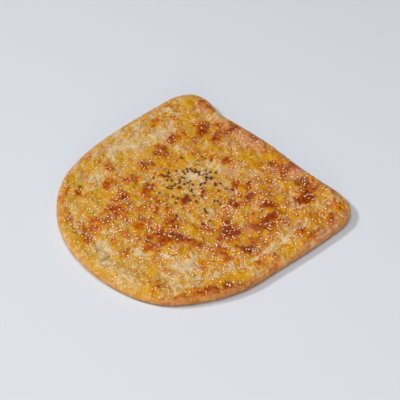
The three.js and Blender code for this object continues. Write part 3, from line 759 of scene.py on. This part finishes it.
def crustFinish():
    finish = Finish("eggWashedCrust")
    broad, mottle, yellow, mustard, amber, cream, rosy, drawn, fleck, speck, wet = (
        finish.pattern(*numbers) for numbers in crustPatterns.values())
    fine = finish.noise(1.3 * mm, 3, 0.6)
    strands = finish.noise(1.0, 3, 0.6, 0.3, 2.2, place=finish.attribute("layers", "Vector"))
    ridge = (finish.noise(7 * mm, 3, 0.55, 0.6, 30.5) - 0.5).amount()
    brown, unbaked, rolled, ruddy, under = (
        finish.attribute(name) for name in ("brown", "pale", "layered", "ruddy", "under"))
    plain = 1 - brown

    bake = broad * bakeBy["broad"] + mottle * bakeBy["mottle"] + (fine - 0.5) * bakeBy["fine"]
    bake = bake + finish.attribute("puff") * bakeBy["puff"] + bakeBy["start"]
    bake = bake + unbaked * bakeBy["pale"] + finish.attribute("toast") * bakeBy["toast"]
    bake = bake + brown * (bakeBy["brown"] + mottle * bakeBy["brownMottle"])
    # the ring round each seed is browned: partly toasting, partly painted shadow of the seed
    bake = bake + finish.attribute("nest") * bakeBy["nest"] + (ruddy - 0.5) * bakeBy["ruddy"]
    bake = bake + (strands - 0.5) * rolled * bakeBy["strands"]
    color = finish.ramp(bake.clamp(), crust["shades"])

    gold = finish.mix((mustard * 0.7 + (0.5 - ruddy) * 1.5).clamp(), crust["yellow"], crust["mustard"])
    tinted = {"yellow": (yellow, gold), "amber": (amber, crust["amber"]), "cream": (cream, crust["cream"])}
    for name, (spots, tint) in tinted.items():
        share, change = tints[name]
        color = finish.mix((spots * plain * (share + unbaked * change)).clamp(), color, tint)
    blush = rosy * 0.28 + finish.attribute("rosy") * (0.4 + rosy * 0.4)
    color = finish.mix((blush * plain).clamp(), color, crust["rosy"])

    # the wall: real tan with toasted mottling, painted brighter as painted light where the wall lies in shade
    flankWithPaintedLight = finish.mix(mottle, crust["side"], crust["sideToasted"])
    color = finish.mix(finish.attribute("side") * 0.3, color, flankWithPaintedLight)
    # the foot of the wall: real toasted streaks on a paler tan that is painted bounce light
    streaks = (mottle * 0.5 + (strands - 0.4) * 1.8).clamp()
    foot = finish.mix(streaks, crust["foot"], crust["footToasted"])
    color = finish.mix(finish.attribute("foot") * 0.5, color, foot)

    # thin raised ridges, whose pale colour is partly painted highlight
    wrinkle = (1 - finish.step(ridge, 0.004, 0.03)) * drawn
    folded = finish.attribute("folded") * (0.3 + mottle * 0.4)
    gilt = finish.attribute("golden") * plain * (0.5 + mottle * 0.5)
    over = {  # thin layers, from the lowest to the topmost
        "wrinkle": (wrinkle * (0.25 + plain * 0.45) + folded).clamp(),
        # light flecks over the crust, partly painted glints
        "fleck": fleck * (0.15 + plain * 0.5),
        # painted shade in the hollows of the fine bump, where the fine noise is low
        "crease": finish.step(fine, 0.46, 0.3) * 0.5,
        "speck": speck * 0.55,
        "golden": (gilt * 0.95).clamp(),
        "plum": (finish.attribute("plum") * (0.3 + mottle * 0.45)).clamp(),
        "stain": finish.attribute("stain") * 0.4,
    }
    for name, share in over.items():
        color = finish.mix(share, color, crust[name])
    color = finish.mix(under, color, finish.mix(broad * mottle, crust["under"], crust["underSpots"]))

    rough = crust["gloss"] + (mottle - 0.5) * 0.16 + (fine - 0.5) * 0.3 + under * 0.35
    relief = fine + finish.noise(0.7 * mm, 2, 0.6) * 0.4 + strands * rolled * 1.4 + wrinkle * 0.35
    finish.feed(Base_Color=color, Roughness=rough.clamp())
    finish.feed(Coat_Weight=(crust["coat"] * wet * (1 - under)).clamp())
    finish.feed(Normal=finish.bump(relief, crust["relief"] * mm, 0.9))
    finish.feed(Coat_Roughness=crust["coatGloss"], Specular_IOR_Level=crust["shine"])
    finish.feed(Specular_Tint=crust["shineTint"])
    return finish.material


# Seeds, in millimetres. Sunk is a share of the thickness, and gap the least distance between sesame seeds.
sesame = {
    "length": 2.6, "width": 1.3, "thickness": 0.9, "taper": 0.3, "sunk": 0.2, "sides": 8, "steps": 5,
    "shade": paint(255, 232, 196), "toasted": paint(238, 180, 128), "shine": 0.5,
    "tries": 30000, "count": 1650, "gap": 1.75,
}

# how thickly sesame is strewn
strewing = {
    "middle": 0.55, "perX": 0.0026, "perY": -0.0012, "least": 0.22,
    "edge": (3, 24), "atEdge": 0.15, "bareEdge": 4,
    "clusters": {"size": 11, "seed": 4, "middle": 0.6, "swing": 1.9, "least": 0.1},
    "onPlum": 0.6, "onBrown": 0.4,  # how much thinner there
}

nigella = {
    "length": 3.9, "width": 2.1, "thickness": 1.4, "taper": 0.2, "sunk": 0.2, "sides": 6, "steps": 5,
    "shade": paint(80, 32, 10), "toasted": paint(112, 54, 24), "shine": 0.2,
    "places": [  # each seed's place, and the direction of its length in degrees
        (-20, 59, -50), (-31, 55, -30), (-26, 55, 20), (-28, 47, 15), (-24, 42, -35), (-11, 42, -50),
        (-7, 45, 40), (-2, 48, -60), (-20, 35, -20), (-17, 34, 10), (-14, 35, 60), (-11, 33, 10),
        (-7, 35, 70), (-6, 38, 20), (-2, 36, -20), (1, 39, 60), (3, 38, -70), (2, 36, 10), (-2, 34, -50),
        (1, 32, -70), (3, 28, 60), (1, 25, 65), (2, 22.5, -80), (-24, 31.5, 10), (-20.5, 31, 5),
        (-17, 31.5, 20), (-26, 28.5, -15), (-23, 27, -15), (-25.5, 23, -10), (-22.5, 22, -15),
        (-21, 16, 10), (-18.5, 17.5, 30), (-11, 20, 85), (-10.5, 16, 80), (-5, 18, -70), (-19, 12, -60),
        (-15.5, 9.5, 20), (-10.5, 10.5, 80), (-14, 7, 60), (-35.5, 10.5, -10), (-32.5, 7, -40),
        (-30.5, 5.5, 20), (-33, 4, 70), (-36.5, 3, 15), (-28, 5, -50), (-26, 1, -35), (-23, 4, -60),
        (-17, 4.5, -30), (-16.5, 1.5, 70), (-18, -1, 10), (-10, 4, 30), (-10.5, 3, -30), (-15, -3, 40),
        (-18, -5.5, 30), (1, 11, -50), (2.5, 9, -60), (9, 7, -55), (8, 19, -60), (12, 17, -50),
        (13.5, 15, -60), (16, 11.5, -20), (17, 2.5, -15), (31.5, 1, -35), (34.5, -0.5, -20),
        (37, -1.5, -10), (4.5, 1, -20), (11.5, -1.5, -70), (1, -8, -40), (-4.5, -10, -55), (4.5, -14, -20),
        (29, 17, -50), (32, 19, 0), (37, 18.5, -10), (-41, -5.5, -40), (-18, -17, -20), (19, -25.5, -45),
        (22, -29.5, -20), (10.5, 35.5, -20), (12, 34.5, -70), (22, 30, 20), (29, 42, 40), (25, 37, 10),
        (14.5, 40, 0), (-33, 19.5, 10), (-44, 36, -50), (46.5, -5.5, -60), (45.5, -14, 30), (-83, -71, 40),
    ],
}

# what varies from seed to seed, and the steepest dough that they lie on
seedChance = {"smallest": 0.82, "largest": 1.1, "tilt": 0.12, "steepest": 0.5}
seedSkin = {"grain": 0.5, "grainShade": paint(150, 96, 52), "gloss": 0.32, "relief": 0.12}


def makeSeedShape(kind):  # one pointed seed, lying along Y
    bpy.ops.object.select_all(action="DESELECT")
    bpy.ops.mesh.primitive_uv_sphere_add(segments=kind["sides"], ring_count=kind["steps"], radius=1)
    seed = bpy.context.object
    bpy.ops.object.mode_set(mode="EDIT")
    bpy.ops.mesh.select_all(action="SELECT")
    bpy.ops.transform.rotate(value=math.pi / 2, orient_axis="X", center_override=(0, 0, 0))
    bpy.ops.object.mode_set(mode="OBJECT")
    half = Vector((kind["width"], kind["length"], kind["thickness"])) * 0.5 * mm
    for vertex in seed.data.vertices:
        slim = 1 - kind["taper"] * vertex.co.y
        vertex.co.x *= half.x * slim
        vertex.co.y *= half.y
        vertex.co.z *= half.z * slim
    return seed


# Copies the seed's shape to every place, as one joined mesh laid along the dough.
def laySeeds(name, kind, places, surface, draws):
    shape = makeSeedShape(kind)
    corners = cornersOf(shape.data)
    faces = [list(polygon.vertices) for polygon in shape.data.polygons]
    points, loops, tones = [], [], []
    for x, y, turn in places:
        above = Vector((x * mm, y * mm, 0.1))
        hit, normal, _, _ = surface.ray_cast(above, Vector((0, 0, -1)))
        if hit is None or normal.z < seedChance["steepest"]:
            continue
        size, tone = draws.uniform(seedChance["smallest"], seedChance["largest"]), draws.random()
        tilt = draws.normal(0, seedChance["tilt"], 2)
        up = (normal + Vector((tilt[0], tilt[1], 0))).normalized()
        side = up.cross(Vector((math.cos(turn), math.sin(turn), 0))).normalized()
        ahead = side.cross(up)
        lift = kind["thickness"] * (0.5 - kind["sunk"]) * mm
        base = len(points) * len(corners)
        points.append(corners * size @ np.array([side, ahead, up]) + np.array(hit + normal * lift))
        loops += [[base + corner for corner in face] for face in faces]
        tones += [tone] * len(corners)
    mesh = bpy.data.meshes.new(name)
    mesh.from_pydata(np.concatenate(points), [], loops)
    giveAttribute(mesh, "tone", np.array(tones))
    mesh.shade_smooth()
    seeds = bpy.data.objects.new(name, mesh)
    bpy.context.scene.collection.objects.link(seeds)
    bpy.data.objects.remove(shape)
    print(name + ":", len(points), "seeds")
    return seeds


def nigellaPlaces():
    return [(x, y, math.radians(turn)) for x, y, turn in nigella["places"]]


# Sesame is strewn in loose clusters, thinner towards the ear, over the edge and on browned blisters.
def sesamePlaces(draws, taken):
    x, y = draws.uniform(-1.04, 1.04, (2, sesame["tries"])) * dough["halfSpan"]
    inset = dough["halfSpan"] * (1 - np.hypot(x, y) / edgeAt(np.arctan2(y, x)))
    share = strewing["middle"] + strewing["perX"] * x + strewing["perY"] * y
    share = np.clip(share, strewing["least"], 1)
    atEdge = strewing["atEdge"]
    share *= smoothStep(inset, *strewing["edge"]) * (1 - atEdge) + atEdge * (inset > strewing["bareEdge"])
    clusters = strewing["clusters"]
    crowd = clusters["middle"] + clusters["swing"] * wobble(onPlan(x, y), clusters["size"], clusters["seed"])
    share *= np.clip(crowd, clusters["least"], 1)
    share *= 1 - strewing["onPlum"] * patches(x, y, plum)
    share *= 1 - strewing["onBrown"] * patches(x, y, browned)
    lucky = draws.random(len(x)) < share
    places = []
    for a, b in zip(x[lucky], y[lucky]):
        if len(places) == sesame["count"]:
            break
        if all(math.hypot(a - spot[0], b - spot[1]) > sesame["gap"] for spot in places + taken):
            places.append((a, b, draws.uniform(0, 2 * math.pi)))
    return places


def seedFinish(name, kind):
    finish = Finish(name)
    color = finish.mix(finish.step(finish.attribute("tone"), 0.3, 1.0), kind["shade"], kind["toasted"])
    grain = finish.noise(seedSkin["grain"] * mm, 2, 0.5)
    color = finish.mix((grain - 0.5) * 0.3 + 0.1, color, seedSkin["grainShade"])
    finish.feed(Base_Color=color, Roughness=seedSkin["gloss"] + grain * 0.25)
    finish.feed(Normal=finish.bump(grain, seedSkin["relief"] * mm, 0.5))
    finish.feed(Specular_IOR_Level=kind["shine"])
    return finish.material


makeCamera()
for name in light:
    makeLight(name)
makeSky()
makeFloor()
print("stage is ready")

draws = np.random.default_rng(20)  # the same draws on every run
nigellaSpots = nigellaPlaces()
sesameSpots = sesamePlaces(draws, nigellaSpots)
bread = makeDough(sesameSpots, nigellaSpots)
bread.data.materials.append(crustFinish())
surface = BVHTree.FromObject(bread, bpy.context.evaluated_depsgraph_get())
nigellaSeeds = laySeeds("nigellaSeeds", nigella, nigellaSpots, surface, draws)
sesameSeeds = laySeeds("sesameSeeds", sesame, sesameSpots, surface, draws)
sesameSeeds.data.materials.append(seedFinish("sesameSkin", sesame))
nigellaSeeds.data.materials.append(seedFinish("nigellaSkin", nigella))

for piece, slot in ((bread, "crust"), (sesameSeeds, "sesame"), (nigellaSeeds, "nigella")):
    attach(piece, "root")
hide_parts("flatbread")
